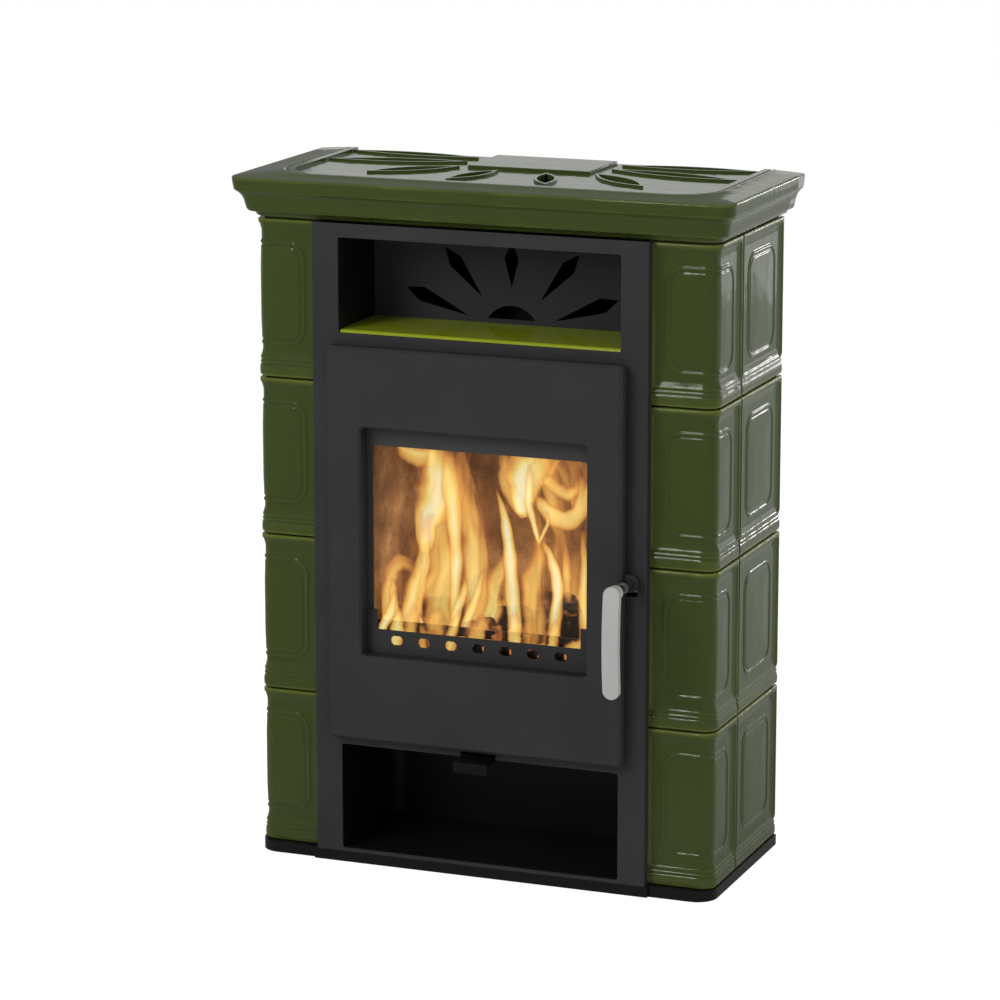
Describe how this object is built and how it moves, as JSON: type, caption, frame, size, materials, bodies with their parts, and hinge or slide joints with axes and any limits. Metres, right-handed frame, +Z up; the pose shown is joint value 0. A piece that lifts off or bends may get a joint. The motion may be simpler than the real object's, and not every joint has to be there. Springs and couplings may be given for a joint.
{
  "type": "tiled wood stove",
  "caption": "Free-standing wood stove in glazed tiles and crown, with a steel front, a warming niche, a glazed fire door on hinges and a wood store.",
  "frame": {"origin": "centre of the tiled body's footprint, on the floor", "axes": "+Z up, +X to the right as seen from the front, -Y towards the viewer (the door side)"},
  "size_m": [0.718, 0.426, 0.955],
  "materials": {
    "green_glaze": "gloss",
    "shelf_glaze": "gloss",
    "black_enamel_steel": "satin",
    "body_steel": "matte",
    "fireclay": "matte",
    "cast_iron": "matte",
    "ceramic_glass": "gloss",
    "glass_fibre": "matte",
    "satin_nickel": "satin",
    "bright_steel": "gloss",
    "zinc_steel": "satin"
  },
  "bodies": {
    "stove": {"corner_tile_left_1": "green_glaze", "corner_tile_left_2": "green_glaze", "corner_tile_left_3": "green_glaze", "corner_tile_left_4": "green_glaze", "corner_tile_right_1": "green_glaze", "corner_tile_right_2": "green_glaze", "corner_tile_right_3": "green_glaze", "corner_tile_right_4": "green_glaze", "side_tile_left_1": "green_glaze", "side_tile_left_2": "green_glaze", "side_tile_left_3": "green_glaze", "side_tile_left_4": "green_glaze", "side_tile_right_1": "green_glaze", "side_tile_right_2": "green_glaze", "side_tile_right_3": "green_glaze", "side_tile_right_4": "green_glaze", "crown_cornice": "green_glaze", "crown_top": "green_glaze", "crown_cover": "green_glaze", "shelf_tile": "shelf_glaze", "face_panel": "black_enamel_steel", "base_plate": "black_enamel_steel", "niche_liner": "black_enamel_steel", "sun_grille": "black_enamel_steel", "store_liner": "black_enamel_steel", "carcass_side_left": "body_steel", "carcass_side_right": "body_steel", "rear_cover": "body_steel", "tile_rails": "body_steel", "slider_guides": "body_steel", "hinge_brackets": "body_steel", "latch_keeper": "body_steel", "flue_tee": "body_steel", "flue_cap": "body_steel", "firebox_shell": "body_steel", "ash_pan": "body_steel", "brick_left": "fireclay", "brick_right": "fireclay", "brick_back": "fireclay", "hearth_brick": "fireclay", "baffle": "fireclay", "grate": "cast_iron", "log_guard": "cast_iron", "joint_strips": "glass_fibre", "hinge_pins": "zinc_steel", "rear_screws": "zinc_steel"},
    "door": {"door_leaf": "black_enamel_steel", "door_inner_frame": "body_steel", "door_gasket": "glass_fibre", "door_glass": "ceramic_glass", "glass_seal": "glass_fibre", "glass_clips": "zinc_steel", "window_guard": "black_enamel_steel", "hinge_eyes": "body_steel", "handle_bearing": "black_enamel_steel"},
    "handle": {"handle_shaft": "bright_steel", "handle_grip": "satin_nickel", "latch_cam": "bright_steel"},
    "air_control": {"air_slider": "black_enamel_steel"}
  },
  "joints": [
    {"name": "door_swing", "type": "hinge", "parent": "stove", "child": "door", "pos_m": [-0.204, -0.165, 0.46], "axis": [0, 0, -1], "range_deg": [0, 100]},
    {"name": "handle_turn", "type": "hinge", "parent": "door", "child": "handle", "pos_m": [0.2205, -0.18, 0.437], "axis": [0, 1, 0], "range_deg": [0, 70]},
    {"name": "air_slide", "type": "slide", "parent": "stove", "child": "air_control", "axis": [0, -1, 0], "range_m": [-0.02, 0.015]}
  ]
}
